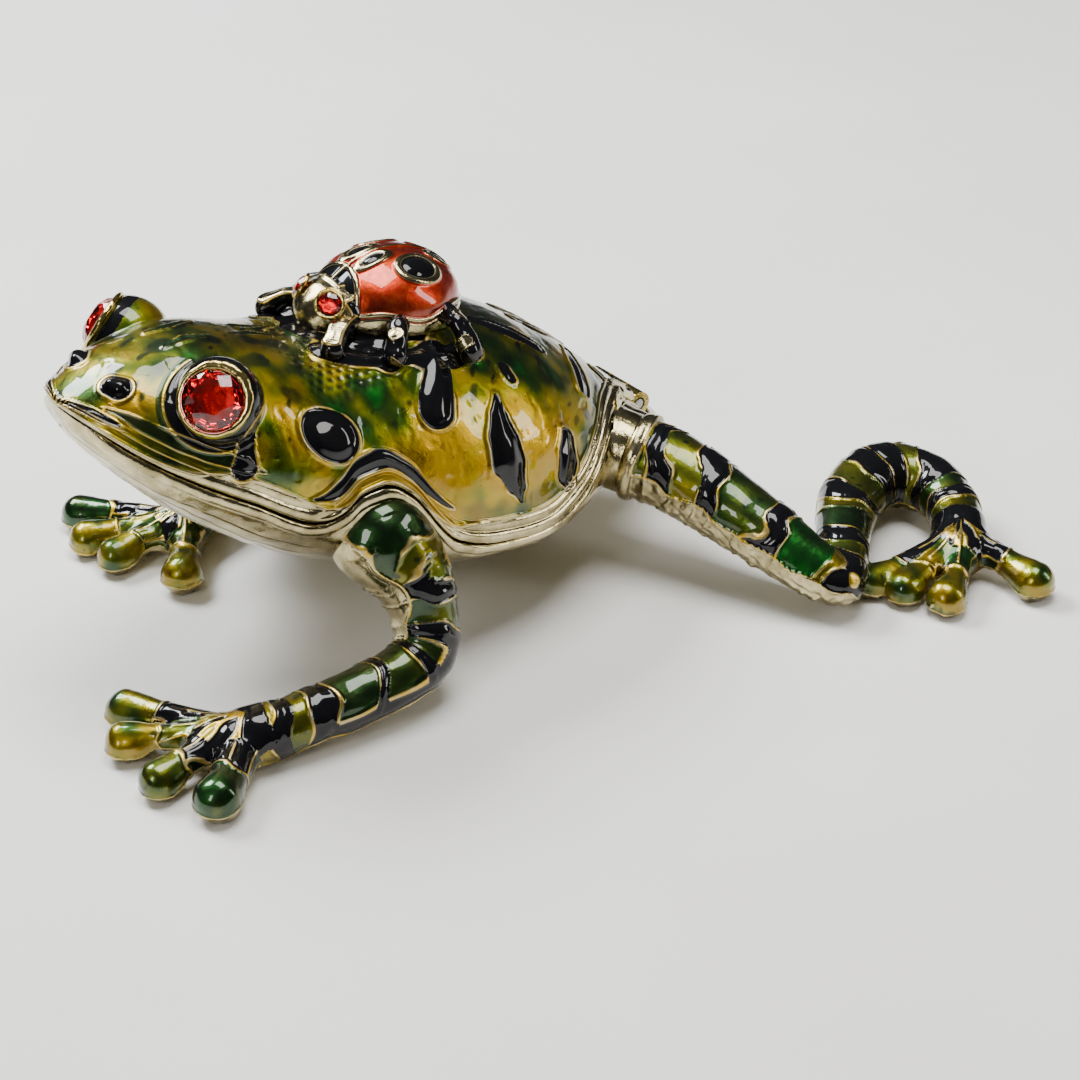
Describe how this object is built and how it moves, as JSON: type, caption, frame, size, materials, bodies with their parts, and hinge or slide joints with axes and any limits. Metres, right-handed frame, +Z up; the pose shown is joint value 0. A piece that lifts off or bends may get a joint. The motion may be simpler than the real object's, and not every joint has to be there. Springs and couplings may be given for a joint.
{
  "type": "frog trinket box",
  "caption": "Hinged enamelled metal trinket box shaped as a crawling frog with crystal eyes and a ladybird riding on its lid.",
  "frame": {"origin": "middle of the underside of the whole frog's box, on the surface it stands on", "axes": "+X from the head to the tail, +Y to the frog's right side, +Z up"},
  "size_m": [0.0754, 0.0652, 0.0293],
  "materials": {
    "gold_metal": "polished pale gold plating on cast metal",
    "enamel_olive": "glossy translucent amber and green enamel with black spots",
    "enamel_leg": "glossy translucent green and amber enamel with black bands",
    "enamel_red": "glossy translucent red-orange enamel",
    "ruby_crystal": "faceted red crystal with foiled back",
    "steel_pin": "drawn steel wire",
    "magnet_nickel": "nickel-plated disc magnet"
  },
  "bodies": {
    "base": {"base_tray": "gold_metal", "front_leg_left": "enamel_leg", "front_leg_right": "enamel_leg", "hind_leg_left": "enamel_leg", "hind_leg_right": "enamel_leg", "hinge_knuckle_base_left": "gold_metal", "hinge_knuckle_base_right": "gold_metal", "hinge_pin": "steel_pin", "magnet_base": "magnet_nickel"},
    "lid": {"lid_shell": "enamel_olive", "eye_crystal_left": "ruby_crystal", "eye_crystal_right": "ruby_crystal", "ladybird": "enamel_red", "ladybird_eye_left": "ruby_crystal", "ladybird_eye_right": "ruby_crystal", "hinge_knuckle_lid": "gold_metal", "magnet_lid": "magnet_nickel"}
  },
  "joints": [
    {"name": "lid_hinge", "type": "hinge", "parent": "base", "child": "lid", "pos_m": [0.01753, 0.0033, 0.0094], "axis": [0, 1, 0], "range_deg": [0, 95]}
  ]
}
